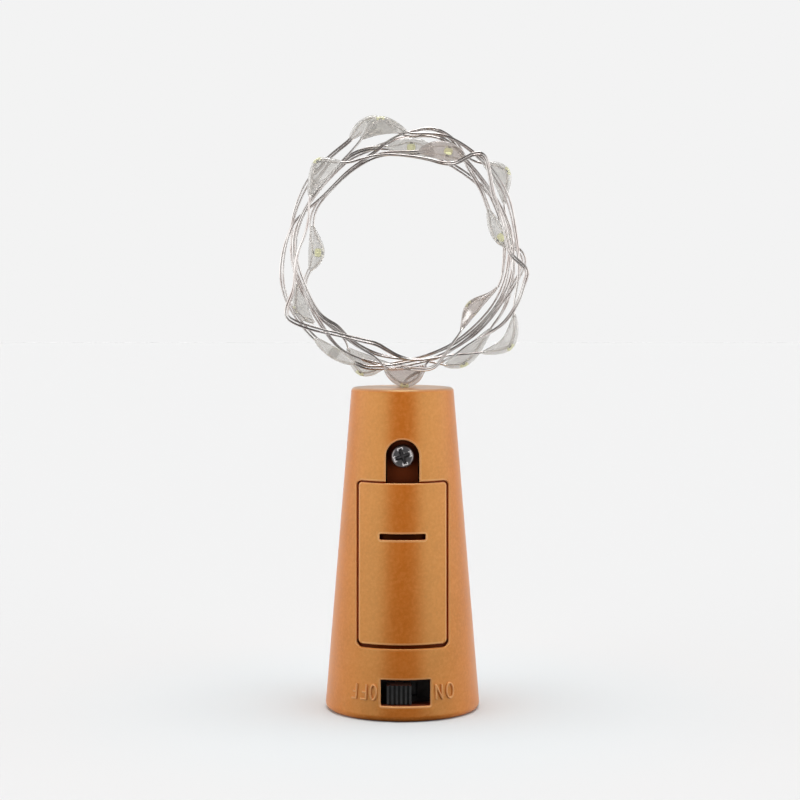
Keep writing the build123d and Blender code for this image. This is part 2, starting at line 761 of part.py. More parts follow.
# Resin beads along the string, each round a chip that lights up
for number, (point, heading) in enumerate(light_places, start=1):
    with BuildPart() as led_bead:
        with BuildSketch(Plane(origin=point, x_dir=heading, z_dir=(0, 1, 0))):
            with BuildLine():
                end_radius = bead_end_diameter / 2
                Polyline((-bead_length / 2, end_radius), (-bead_length / 2, 0), (bead_length / 2, 0),
                         (bead_length / 2, end_radius))
                ThreePointArc((bead_length / 2, end_radius), (0, bead_diameter / 2), (-bead_length / 2, end_radius))
            make_face()
        revolve(axis=Axis(point, heading))
    led_bead.part.label = f"led_bead_{number:02d}"
    export_step(led_bead.part, f"parts/led_bead_{number:02d}.step")

with BuildPart() as led_chips:
    for point, heading in light_places:
        chip_middle = point - Vector(0, string_radius + fit_gap + chip_thickness / 2, 0)
        with Locations(Plane(origin=chip_middle, x_dir=heading, z_dir=(0, -1, 0))):
            Box(chip_length, chip_width, chip_thickness)
led_chips.part.label = "led_chips"
export_step(led_chips.part, "parts/led_chips.step")
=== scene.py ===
import bpy
import bmesh
import json
import math
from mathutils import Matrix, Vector


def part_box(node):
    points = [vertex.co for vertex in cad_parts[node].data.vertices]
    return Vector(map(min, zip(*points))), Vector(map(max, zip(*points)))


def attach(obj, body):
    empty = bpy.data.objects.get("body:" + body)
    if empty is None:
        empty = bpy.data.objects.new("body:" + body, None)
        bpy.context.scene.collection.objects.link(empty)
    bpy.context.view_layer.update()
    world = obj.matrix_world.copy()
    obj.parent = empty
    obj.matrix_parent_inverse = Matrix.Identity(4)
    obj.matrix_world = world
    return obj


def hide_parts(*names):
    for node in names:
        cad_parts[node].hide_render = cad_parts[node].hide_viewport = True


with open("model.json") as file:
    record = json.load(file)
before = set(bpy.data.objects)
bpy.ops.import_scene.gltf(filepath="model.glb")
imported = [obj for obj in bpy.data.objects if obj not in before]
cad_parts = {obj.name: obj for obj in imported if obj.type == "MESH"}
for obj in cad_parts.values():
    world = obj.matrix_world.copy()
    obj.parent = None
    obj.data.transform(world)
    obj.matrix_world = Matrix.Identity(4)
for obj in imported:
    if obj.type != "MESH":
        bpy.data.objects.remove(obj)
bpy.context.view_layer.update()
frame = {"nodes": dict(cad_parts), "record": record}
nodes = frame["nodes"]
scene = bpy.context.scene
scene.view_settings.view_transform = "Standard"


def rgb(red, green, blue):
    """A colour for a shader's socket."""
    return (red, green, blue, 1.0)


MM = 0.001

# Sizes that the looks share with the part, in millimetres
BASE_RADIUS = 12.6
NECK_RADIUS = 8.25
CORK_HEIGHT = 52.2
RING_MIDDLE_X = 0.2
RING_MIDDLE_Z = 74.4
RING_FRONT = -3.9
RING_BACK = 3.6
RING_START = -45.0

# Camera as fitted to the photograph: place in metres, degrees that it looks down, lens and sensor, and its
# millimetres to the ring
CAMERA_PLACE = (-0.00041, -0.320, 0.0689)
CAMERA_DOWN = 3.36
CAMERA_LENS = 89.0
CAMERA_SENSOR = 36.0
CAMERA_AWAY = 320.0

# Studio light: levels, and the directions between which one level turns into the next. Frontness is 1 towards
# the camera and -1 away from it, and height is 1 straight up.
BACKGROUND = 0.896
SIDE_LIGHT = 2.06
HIGH_LIGHT = 0.35
TOP_LIGHT = 7.0
FRONT_LEVEL = 0.04
BACK_LEVEL = 0.36
FRONT_SPAN = (0.74, 0.99)
BACK_SPAN = (-0.85, -0.10)
BELT_SPAN = (0.30, 0.64)
TOP_SPAN = (0.93, 0.965)
MIRRORED_FRONTNESS = (-0.55, -0.25)
MIRRORED_HEIGHT = (0.35, 0.70)

# Floor: its reach in metres, the colours that it shows far from and near the cork, the span in millimetres
# between the two, and the greys that it throws back on the object, from the sides and from in front
FLOOR_REACH = 2.0
FLOOR_FRONT = 0.085
FLOOR_FAR_COLOUR = rgb(0.778, 0.778, 0.779)
# Near the cork the floor is painted a cool tint that cancels the orange light the cork throws on it
FLOOR_NEAR_COOL_TINT = rgb(0.742, 0.781, 0.797)
FLOOR_NEAR_SPAN = (18.0, 70.0)
SIDE_BOUNCE = rgb(0.46, 0.46, 0.46)
FRONT_BOUNCE = rgb(0.03, 0.03, 0.03)
BOUNCE_SPAN = (0.62, 0.96)
BOUNCE_IN_GLOSS = 0.7

# Edges of the cork that get a painted highlight, in millimetres, each by its middle, half width, half height,
# corner and the gap inside it: the door's opening, its slot and the switch window. Then the screw's recess,
# the door's lower edge, and the edge of the opening under the door, where the highlight is duller.
RIMS = [
    (0, 24.59, 7.2, 13.11, 0.85, 0.24),
    (0, 29.01, 3.65, 0.475, 0.25, 9.0),
    (0.45, 4.56, 3.9, 2.05, 0.15, 9.0),
]
RIM_OUT = 0.12
RIM_SPAN = (0.08, 0.28)
HIGHLIGHT_SHARE = 0.75
ARCH_Z = 41.65
ARCH_RADIUS = 2.65
ARCH_FOOT = 37.75
DOOR_FOOT = 12.2
DOOR_FOOT_HALF = 6.4
UNDER_DOOR = 11.2
UNDER_DOOR_HALF = 0.55
UNDER_DOOR_DULLER = 0.7

# Where the cork is painted and where its cut walls are bare or darkened as painted shade, and where raised
# letters get a painted highlight: spans of depth under its skin and of height over the floor, in millimetres
BARE_DEPTH = (0.22, 0.50)
SLOT_DEPTH = (0.62, 0.92)
RECESS_DEPTH = (1.5, 2.0)
PROUD_DEPTH = (-0.16, -0.05)
PAINTED_FOOT = (1.6, 2.1)
PAINTED_TOP = (CORK_HEIGHT - 1.4, CORK_HEIGHT - 0.9)
TOP_FACE = (CORK_HEIGHT - 0.5, CORK_HEIGHT - 0.05)
TOP_SHARE = 0.7
SWITCH_WALLS = (7.0, 8.0)
LOWER_GAP = (12.3, 12.8)
UPPER_GAP = (36.8, 37.2)

# Colours of the cork
PAINT = rgb(0.630, 0.160, 0.013)
PAINT_CLOUD = rgb(0.680, 0.177, 0.017)
PAINT_LIGHT_GRAIN = rgb(0.760, 0.245, 0.050)
PAINT_DARK_GRAIN = rgb(0.520, 0.118, 0.007)
# Painted highlight on the front edges of the openings and on the raised letters
PAINTED_HIGHLIGHT = rgb(0.860, 0.400, 0.165)
PAINT_TOP = rgb(0.500, 0.310, 0.195)
PAINT_GLOSS = rgb(0.93, 1.0, 0.46)
BARE_SIDE_GAP = rgb(0.560, 0.046, 0.001)
# Painted shade in the door's lower gap
SHADED_LOWER_GAP = rgb(0.085, 0.012, 0.001)
BARE_UPPER_GAP = rgb(0.230, 0.022, 0.001)
# Painted shade in the slot
SHADED_SLOT = rgb(0.030, 0.007, 0.002)
BARE_BY_SWITCH = rgb(0.330, 0.070, 0.030)
# The recess floor: dark bare plastic, darkened further as painted shade
BARE_AND_SHADED_RECESS = rgb(0.145, 0.031, 0.010)
# Dimmed gloss on the cut walls, part of their painted shade
SHADED_CUT_GLOSS = rgb(0.12, 0.03, 0.0)

# Switch knob: its front, and the depth over which its ribs turn into grooves darkened as painted shade
KNOB_FRONT = 11.45
KNOB_GROOVE = (0.15, 0.45)

# Door screw: height of its axis, turn of its cross, the cross's half length and half width, the line along
# the cross that carries painted glints, where its ends begin, and the head's edge, darkened as painted shade
SCREW_Z = 41.64
CROSS_TURN = math.radians(20)
CROSS_HALF = 1.35
CROSS_ARM = 0.35
GLINT_LINE = (0.07, 0.16)
CROSS_END = (0.95, 1.15)
HEAD_EDGE = (1.45, 1.70)

# Resistor: places of its bands along its length, their half width, and where the leads begin from its middle
RESISTOR_BANDS = [
    (0.36, rgb(0.25, 0.10, 0.03)),
    (0.45, rgb(0.02, 0.02, 0.02)),
    (0.54, rgb(0.25, 0.10, 0.03)),
    (0.66, rgb(0.55, 0.40, 0.08)),
]
BAND_HALF = 0.025
LEAD_FROM = 0.33

# Light string, in millimetres: half the distance between its two wires wanders along it and is widest at a
# light. Where the wires enter resin they get thinner, and painted brighter, over a short edge.
WIRE_RADIUS = 0.17
WIRE_SIDES = 10
WIRE_THINNER_IN_RESIN = 0.25
PAIR_HALF = 0.23
PAIR_HALF_AT_LIGHT = 0.78
PAIR_WANDER = 0.06
WANDER_FAST = 0.31
WANDER_SLOW = 0.083
RESIN_EDGE = 8
POINTS_PER_SPAN = 8

# Twist of the pair, in degrees: where it starts, the least turn from light to light, half a turn and the last
# turn. Then the run at each light that isn't twisted, in millimetres and at most as a share of the way.
TWIST_START = 90
TWIST_LEAST = 100
TWIST_HALF_TURN = 180
TWIST_END = 40
TWIST_FREE_RUN = 3.0
TWIST_FREE_SHARE = 0.25

# Route of the lead out of the cork: as the part's own lead, but rising behind the light that stands over the
# hole
LEAD_ROUTE = [
    (0, 0, 51.4), (0, 0, 52.85), (1.3, 0.3, 53.9), (3.4, -0.9, 55.0), (5.6, -2.9, 56.0),
    (8.2, -3.8, 57.4), (10.8, -3.9, 59.4),
]

# The ring, light by light: degrees counter-clockwise seen from the front, distance from the ring's middle,
# and how far the string comes forward where it leaves its layer. Each list ends at its light.
RING_ROUTE = [
    [(318, 19.6), (325, 20.2), (335, 20.4), (345, 20.2), (350.2, 20.4), (353.5, 18.9), (357.5, 17.1),
     (5, 16.7), (15, 16.7), (25, 16.6), (32, 16.9), (38, 17.8), (43, 18.7), (47, 19.6), (50.5, 19.9),
     (53.5, 19.2), (55.7, 17.8), (58, 16.5), (61.5, 15.6), (67, 15.1), (76, 15.0), (86, 15.0), (96, 15.3),
     (106, 15.8), (116, 16.1), (122.5, 16.5), (127.5, 17.6), (134.2, 20.1)],
    [(141, 18.9), (147, 17.9), (153, 17.1), (159, 16.4), (166, 16.0), (173, 16.2), (180, 17.0), (188, 17.7),
     (196, 18.3), (201.5, 19.3), (206, 21.1), (210, 21.9), (214.5, 21.0), (219.5, 19.8), (225, 18.6),
     (231, 17.5), (238, 16.7), (246, 16.1), (253.5, 15.8), (261, 16.5), (268, 17.4), (276, 18.0),
     (285, 18.2), (294, 18.6), (301, 19.7), (306.5, 20.7), (312, 22.1), (317.8, 23.4)],
    [(324, 22.2), (329, 20.8), (334, 19.8), (341, 19.3), (349, 19.0), (358, 18.5), (8, 18.2), (18, 18.4),
     (27, 18.7), (36, 18.9), (45, 19.1), (54, 19.2), (62, 19.4), (70, 19.5), (77, 19.1), (83, 18.7),
     (88, 18.7), (92, 19.5), (95.5, 20.3), (100, 21.2)],
    [(104.5, 20.7), (108.5, 19.6), (113, 18.6), (119, 17.8), (126, 17.3), (134, 16.9), (143, 16.8),
     (152, 17.0), (161, 17.3), (170, 17.7), (180, 17.7), (190, 17.5), (200, 17.1), (209, 17.1), (217, 17.2),
     (223, 16.8), (228.5, 16.3), (235, 16.6), (242, 17.2), (249, 17.5), (255, 17.9), (259.5, 18.9),
     (264.5, 20.8), (270.5, 21.8)],
    [(276, 21.0), (279.5, 19.3), (283.5, 18.2), (291, 18.0), (300, 17.9), (311, 17.9), (322, 17.8),
     (333, 17.9), (344, 18.0), (355, 17.8), (6, 17.7), (16, 17.3), (26, 16.9), (36, 16.8), (45, 17.0),
     (53, 17.3), (59, 17.5), (65.3, 17.4)],
    [(71.5, 16.9), (77, 16.2), (84, 15.6), (92, 15.5), (101, 15.7), (109, 15.7), (118, 15.5), (127, 15.3),
     (137, 15.2), (146, 15.5), (153, 16.2), (159.5, 17.2), (166, 18.3), (174, 18.9), (182, 19.5),
     (190, 20.1), (199, 20.6), (208, 20.6), (217, 20.4), (226, 20.3), (236, 20.2)],
    [(245, 20.0), (252.5, 20.0), (259, 19.4), (265, 18.9), (272, 18.4), (281, 18.2), (290, 18.3),
     (299, 17.8), (309, 17.6), (319, 17.5), (329, 17.8), (338, 18.4), (346, 19.0), (352.5, 19.6),
     (357, 19.4), (0.5, 18.3), (4, 16.8), (7, 15.7)],
    [(13.5, 15.1), (20.5, 15.1), (28, 15.2), (36, 15.7), (44, 16.1), (51, 16.7), (57, 17.8), (62.5, 18.9),
     (68, 19.6), (74, 20.0), (79.5, 19.85), (85, 19.1), (91, 18.6), (97, 17.8), (103, 16.8), (109, 16.1),
     (117, 15.6), (127, 15.3), (137, 15.2), (147, 15.5), (155, 15.8), (162, 15.6), (168.5, 15.1),
     (175, 14.3), (182, 13.7)],
    [(188, 14.5), (193, 15.8), (198, 16.9), (205, 17.5), (214, 17.7), (222, 18.0), (229, 18.5), (236, 19.0),
     (244, 19.1), (253, 18.9), (262, 19.0), (270, 19.0, 1.2), (276.5, 19.4, 3.0), (281.5, 19.8, 4.4),
     (285.5, 19.6, 4.8), (289.5, 18.7, 4.9), (293.5, 17.8, 4.9), (298, 17.0, 4.8), (304, 16.3, 4.4),
     (309.5, 15.4, 3.0), (314, 14.4, 1.2), (319.5, 13.9)],
    [(325, 14.4), (330, 15.4), (335.5, 16.3), (343, 16.5), (352, 16.3), (2, 16.3), (12, 16.4), (22, 16.4),
     (31, 16.5), (40, 16.8), (48, 17.2), (55, 17.7), (61, 18.2), (67, 18.7), (73, 19.0), (80, 18.9),
     (86, 18.5), (91, 18.7), (95.5, 19.7), (99.5, 20.6), (104, 21.1)],
    [(109, 20.8), (113, 20.1), (117, 19.5), (121, 19.3), (129, 19.1), (138, 18.9), (147, 18.9), (155, 18.7),
     (163, 18.6), (171, 18.4), (180, 18.1), (190, 18.0), (200, 17.8), (210, 17.6), (219, 17.3), (228, 17.0),
     (237, 16.9), (246, 17.2), (255, 17.4), (264, 17.5), (273, 17.7), (281, 18.2), (287, 19.2), (292, 20.2),
     (298, 20.8)],
    [(304.5, 20.3), (311, 19.4), (318, 18.9), (326, 18.9), (334, 18.7), (342, 18.3), (351, 17.9), (1, 17.6),
     (11, 17.4), (21, 17.1), (31, 16.6), (41, 16.1), (51, 15.8), (60, 15.7), (69, 15.9), (77, 16.4),
     (85.5, 16.6)],
    [(94, 16.3), (102, 16.8), (110, 17.3), (119, 17.5), (128, 17.1), (138, 16.9), (148, 16.9), (158, 17.3),
     (168, 17.7), (178, 18.2), (188, 18.0), (198, 17.7), (207, 17.4), (216, 17.1), (225, 17.0), (232, 17.0),
     (237.5, 17.4), (241.5, 18.6), (245.5, 20.0), (250.5, 21.0)],
    [(255, 20.4), (259, 19.3), (264, 18.3), (271, 17.8), (279, 17.5), (288, 17.3), (298, 17.2), (308, 17.0),
     (318, 17.0), (329, 17.2), (340, 17.2), (351, 17.1), (2, 17.1), (12, 17.2), (20, 17.4), (26, 17.9),
     (30.5, 19.0), (33.5, 20.0), (37.5, 20.9)],
    [(42, 20.3), (46, 19.2), (50.5, 18.3), (56, 18.0), (63, 18.5), (70, 19.0), (78, 18.8), (86, 18.3),
     (94, 17.8), (102, 17.2), (111, 17.0), (120, 17.2), (130, 16.9), (140, 16.8), (150, 16.9), (160, 17.2),
     (170, 17.5), (180, 17.6), (189, 17.5), (196, 17.8), (202, 18.8), (209, 20.1)],
]
STRING_TAIL = [(215, 19.4), (219, 18.6)]

# Each light's resin: how far it reaches along the string, before and after its chip, its half width in
# millimetres, and how much of the string's bend it fills
DROPS = [
    (4.0, 6.0, 0.70, 0.92), (4.8, 5.4, 0.75, 0.50), (4.7, 4.7, 0.75, 0.80), (4.4, 4.8, 0.75, 0.85),
    (3.2, 5.0, 1.55, 0.92), (4.1, 4.1, 1.00, 0.92), (3.6, 5.3, 1.20, 0.92), (4.6, 3.4, 1.15, 0.92),
    (6.0, 5.8, 0.75, 0.94), (4.8, 4.6, 1.25, 0.40), (3.4, 7.8, 0.80, 0.92), (4.2, 4.2, 1.65, 0.92),
    (4.6, 5.2, 0.75, 0.94), (5.4, 4.4, 0.75, 0.85), (4.7, 4.8, 0.70, 0.92),
]

# Form of the resin: steps along and round it, radius of its ends, half its depth, the bend from which on it
# is a full web, the power by which it swells, how much narrower and thinner it gets inside the bend, and how
# square it is across and in depth (1 is round)
DROP_RINGS = 26
DROP_SIDES = 18
DROP_END = 0.22
DROP_HALF_DEEP = 1.20
FLAT_DROP_HALF_DEEP = 0.95
DROP_FULL_BEND = 1.2
DROP_SWELL = 0.6
DROP_INSIDE_NARROWER = 0.6
DROP_INSIDE_THINNER = 0.3
DROP_SQUARE_ACROSS = 0.8
DROP_SQUARE_DEEP = 0.65

# Lights that lie flat, with their chip on the front or on the back; in the others it sits outside the bend.
# Three have resin painted darker as shade.
FRONT_LIGHTS = {5, 7, 8, 12}
BACK_LIGHTS = {6, 10}
FLAT_LIGHTS = FRONT_LIGHTS | BACK_LIGHTS
SHADED_LIGHTS = {4, 5, 9}

# Chips with their plates and solder: half sizes along the string, across the pair and through the chip, how
# far each is raised from the string's line, and how square it is (1 is round)
CHIP_HALF = (0.7, 0.55, 0.3)
CHIP_RAISED = 0.32
CHIP_SQUARE = 0.55
SOLDER_HALF = (0.26, 0.13, 0.13)
SOLDER_RAISED = 0.16
SOLDER_INSET = 0.08
SOLDER_SQUARE = 0.8
PLATE_HALF = (0.72, 0.46, 0.07)
PLATE_RAISED = -0.02
BACK_HALF = (0.80, 0.64, 0.12)
BACK_RAISED = -0.1
PLATE_SQUARE = 0.5
LUMP_ROWS = 8
LUMP_COLUMNS = 14
MERGE_DISTANCE = 1e-7

# Raised letters beside the switch: heights on the cork, width and height of a stroke, how far it is sunk into
# the cork, its steps, the shorter bar of an F as shares of its height and of its longer bar, and the stroke's
# profile as shares of its width and height
LETTER_TOP = 5.74
LETTER_BOTTOM = 3.44
LETTER_WIDTH = 0.38
LETTER_HEIGHT = 0.26
LETTER_SUNK = 0.05
LETTER_STEP = 0.12
LETTER_F_MIDDLE = 0.47
LETTER_F_SHORT = 0.72
OVAL_POINTS = 28
STROKE_PROFILE = [
    (-0.5, -0.4), (-0.5, 0.25), (-0.38, 0.72), (-0.18, 0.96), (0.0, 1.0), (0.18, 0.96), (0.38, 0.72),
    (0.5, 0.25), (0.5, -0.4),
]


def link(obj):
    scene.collection.objects.link(obj)
    return obj


def mesh_object(name, verts, faces):
    """A new smooth mesh object from millimetre points."""
    mesh = bpy.data.meshes.new(name)
    mesh.from_pydata([Vector(v) * MM for v in verts], [], faces)
    mesh.validate()
    mesh.shade_smooth()
    return link(bpy.data.objects.new(name, mesh))


def ring_faces(start, rings, sides, closed=False):
    """Faces between rings of points: a loop if closed, and otherwise a tube with a cap at each end."""
    faces = []
    for ring in range(rings if closed else rings - 1):
        here = start + ring * sides
        there = start + (ring + 1) % rings * sides
        for corner in range(sides):
            following = (corner + 1) % sides
            faces.append((here + corner, here + following, there + following, there + corner))
    if not closed:
        last = start + (rings - 1) * sides
        faces.append(tuple(start + corner for corner in reversed(range(sides))))
        faces.append(tuple(last + corner for corner in range(sides)))
    return faces


def turn_outwards(piece, merge=False):
    """Turn a piece's faces outwards, after joining the points that coincide where that is wanted."""
    mesh = bmesh.new()
    mesh.from_mesh(piece.data)
    if merge:
        bmesh.ops.remove_doubles(mesh, verts=mesh.verts, dist=MERGE_DISTANCE)
    bmesh.ops.recalc_face_normals(mesh, faces=mesh.faces)
    mesh.to_mesh(piece.data)
    mesh.free()


def smooth_step(value):
    value = min(1.0, max(0.0, value))
    return value * value * (3 - 2 * value)


class Nodes:
    """Short way to build the nodes of a material or a world."""

    def __init__(self, owner):
        owner.use_nodes = True
        self.tree = owner.node_tree
        self.tree.nodes.clear()

    def set(self, node, key, value):
        """Link a socket to another one, or give it a value of its own."""
        if isinstance(value, bpy.types.NodeSocket):
            self.tree.links.new(value, node.inputs[key])
        else:
            node.inputs[key].default_value = value

    def add(self, kind, **sockets):
        node = self.tree.nodes.new(kind)
        for key, value in sockets.items():
            self.set(node, key.replace("_", " "), value)
        return node

    def math(self, operation, a, b=0.0, clamp=False):
        node = self.tree.nodes.new("ShaderNodeMath")
        node.operation = operation
        node.use_clamp = clamp
        self.set(node, 0, a)
        self.set(node, 1, b)
        return node.outputs[0]

    def ramp(self, value, low, high, to_low=0.0, to_high=1.0):
        """A smooth change from one level to another as the value goes from low to high."""
        node = self.tree.nodes.new("ShaderNodeMapRange")
        node.interpolation_type = "SMOOTHSTEP"
        for index, number in enumerate((value, low, high, to_low, to_high)):
            self.set(node, index, number)
        return node.outputs[0]

    def ramp_mm(self, value, span, to_low=0.0, to_high=1.0):
        """The same over a span in millimetres."""
        return self.ramp(value, span[0] * MM, span[1] * MM, to_low, to_high)

    def mix(self, share, a, b):
        """Colour a where the share is 0, and colour b where it is 1."""
        node = self.tree.nodes.new("ShaderNodeMix")
        node.data_type = "RGBA"
        self.set(node, 0, share)
        self.set(node, 6, a)
        self.set(node, 7, b)
        return node.outputs[2]

    def noise(self, where, scale, detail=2.0, roughness=0.5):
        node = self.add("ShaderNodeTexNoise", Vector=where, Scale=scale, Detail=detail, Roughness=roughness)
        return node.outputs["Fac"]

    def bump(self, height, strength, distance):
        node = self.add("ShaderNodeBump", Height=height, Strength=strength, Distance=distance)
        return node.outputs[0]

    def distance(self, a, b):
        """How far a value lies from another."""
        return self.math("ABSOLUTE", self.math("SUBTRACT", a, b))

    def length(self, a, b):
        """Length of a flat vector."""
        return self.math("SQRT", self.math("ADD", self.math("MULTIPLY", a, a), self.math("MULTIPLY", b, b)))

    def split(self, vector):
        """The x, y and z of a vector."""
        node = self.add("ShaderNodeSeparateXYZ", Vector=vector)
        return node.outputs["X"], node.outputs["Y"], node.outputs["Z"]

    def place(self):
        """The shaded point in the object's own metres."""
        return self.add("ShaderNodeTexCoord").outputs["Object"]

    def surface(self, **sockets):
        shader = self.add("ShaderNodeBsdfPrincipled", **sockets)
        output = self.add("ShaderNodeOutputMaterial")
        self.tree.links.new(shader.outputs[0], output.inputs[0])


def new_material(name):
    material = bpy.data.materials.new(name)
    return material, Nodes(material)


# Camera
camera_data = bpy.data.cameras.new("camera")
camera = link(bpy.data.objects.new("camera", camera_data))
camera_data.sensor_width = CAMERA_SENSOR
camera_data.lens = CAMERA_LENS
camera_data.clip_start = 0.01
camera_data.clip_end = 20.0
camera.location = CAMERA_PLACE
camera.rotation_euler = (math.radians(90 - CAMERA_DOWN), 0, 0)
scene.camera = camera


def studio_light():
    """Soft light from both sides, from behind and from above, with a darker room behind the camera."""
    world = bpy.data.worlds.new("studio")
    w = Nodes(world)
    x, y, z = w.split(w.add("ShaderNodeTexCoord").outputs["Generated"])
    flat_squared = w.math("ADD", w.math("MULTIPLY", x, x), w.math("MULTIPLY", y, y))
    flat = w.math("SQRT", w.math("ADD", flat_squared, 1e-6))
    frontness = w.math("DIVIDE", w.math("MULTIPLY", y, -1.0), flat)
    front_shade = w.ramp(frontness, *FRONT_SPAN, 1.0, FRONT_LEVEL)
    back_shade = w.ramp(frontness, *BACK_SPAN, BACK_LEVEL, 1.0)
    above = w.ramp(z, *TOP_SPAN)
    belt = w.ramp(z, *BELT_SPAN, SIDE_LIGHT, HIGH_LIGHT)
    round_light = w.math("MULTIPLY", w.math("MULTIPLY", front_shade, back_shade), belt)
    side_light = w.math("MULTIPLY", round_light, w.math("SUBTRACT", 1.0, above))
    level = w.math("ADD", side_light, w.math("MULTIPLY", above, TOP_LIGHT))
    rays = w.add("ShaderNodeLightPath").outputs
    at_back = w.ramp(frontness, *MIRRORED_FRONTNESS, 1.0, 0.0)
    behind = w.math("MULTIPLY", at_back, w.ramp(z, *MIRRORED_HEIGHT, 1.0, 0.0))
    mirrored = w.math("MULTIPLY", rays["Is Glossy Ray"], behind)
    through = w.math("ADD", rays["Is Camera Ray"], rays["Is Transmission Ray"], clamp=True)
    seen = w.math("ADD", through, mirrored, clamp=True)
    lit = w.math("MULTIPLY", w.math("SUBTRACT", 1.0, seen), level)
    shown = w.math("ADD", w.math("MULTIPLY", seen, BACKGROUND), lit)
    sky = w.add("ShaderNodeBackground", Color=rgb(1, 1, 1), Strength=shown)
    output = w.add("ShaderNodeOutputWorld")
    w.tree.links.new(sky.outputs[0], output.inputs[0])
    return world


def floor_finish():
    """Pale floor that throws less light back on the object from in front than from the sides."""
    material, n = new_material("floor")
    rays = n.add("ShaderNodeLightPath").outputs
    x, y, _ = n.split(n.place())
    from_middle = n.length(x, y)
    frontness = n.math("DIVIDE", n.math("MULTIPLY", y, -1.0), n.math("MAXIMUM", from_middle, MM))
    in_front = n.ramp(frontness, *BOUNCE_SPAN)
    near = n.ramp_mm(from_middle, FLOOR_NEAR_SPAN, 1.0, 0.0)
    mirrored = n.math("MULTIPLY", n.math("MULTIPLY", rays["Is Glossy Ray"], in_front), BOUNCE_IN_GLOSS)
    bounced = n.math("ADD", rays["Is Diffuse Ray"], mirrored, clamp=True)
    thrown = n.mix(in_front, SIDE_BOUNCE, FRONT_BOUNCE)
    # Painted cool tint near the cork, against the orange light that the cork throws on the floor
    pale = n.mix(near, FLOOR_FAR_COLOUR, FLOOR_NEAR_COOL_TINT)
    n.surface(Base_Color=n.mix(bounced, pale, thrown), Roughness=1.0, Specular_IOR_Level=0.0)
    return material


scene.world = studio_light()
floor_mesh = bpy.data.meshes.new("floor")
floor_corners = [
    (-FLOOR_REACH, -FLOOR_FRONT, 0), (FLOOR_REACH, -FLOOR_FRONT, 0), (FLOOR_REACH, FLOOR_REACH, 0),
    (-FLOOR_REACH, FLOOR_REACH, 0),
]
floor_mesh.from_pydata(floor_corners, [], [(0, 1, 2, 3)])
floor_mesh.materials.append(floor_finish())
floor = link(bpy.data.objects.new("floor", floor_mesh))


def cork_rim_highlights(n, x, y, z):
    """Share of painted highlight: 1 on the front edges of the cork's openings, 0 elsewhere."""
    rim_highlight = 0.0
    for middle_x, middle_z, half_width, half_height, corner, gap in RIMS:
        beside = n.math("SUBTRACT", n.distance(x, middle_x * MM), (half_width - corner) * MM)
        over = n.math("SUBTRACT", n.distance(z, middle_z * MM), (half_height - corner) * MM)
        round_part = n.length(n.math("MAXIMUM", beside, 0.0), n.math("MAXIMUM", over, 0.0))
        straight_part = n.math("MINIMUM", n.math("MAXIMUM", beside, over), 0.0)
        outside = n.math("SUBTRACT", n.math("ADD", round_part, straight_part), corner * MM)
        within = n.math("SUBTRACT", -gap * MM, outside)
        off_edge = n.math("MAXIMUM", n.math("SUBTRACT", outside, RIM_OUT * MM), within)
        rim_highlight = n.math("MAXIMUM", rim_highlight, n.ramp_mm(off_edge, RIM_SPAN, 1.0, 0.0))
    arch_rise = n.math("MAXIMUM", n.math("SUBTRACT", z, ARCH_Z * MM), 0.0)
    off_arch = n.math("SUBTRACT", n.length(x, arch_rise), (ARCH_RADIUS + RIM_OUT) * MM)
    over_arch_foot = n.math("GREATER_THAN", z, ARCH_FOOT * MM)
    arch_highlight = n.math("MULTIPLY", n.ramp_mm(off_arch, RIM_SPAN, 1.0, 0.0), over_arch_foot)
    rim_highlight = n.math("MAXIMUM", rim_highlight, arch_highlight)
    by_foot = n.math("LESS_THAN", n.math("ABSOLUTE", x), DOOR_FOOT_HALF * MM)
    door_foot_highlight = n.math("MULTIPLY", n.ramp_mm(n.distance(z, DOOR_FOOT * MM), RIM_SPAN, 1.0, 0.0), by_foot)
    rim_highlight = n.math("MAXIMUM", rim_highlight, door_foot_highlight)
    rim_highlight = n.math("MULTIPLY", rim_highlight, n.math("LESS_THAN", y, 0.0))
    under_door = n.math("LESS_THAN", n.distance(z, UNDER_DOOR * MM), UNDER_DOOR_HALF * MM)
    kept = n.math("SUBTRACT", 1.0, n.math("MULTIPLY", under_door, UNDER_DOOR_DULLER))
    return n.math("MULTIPLY", rim_highlight, kept)


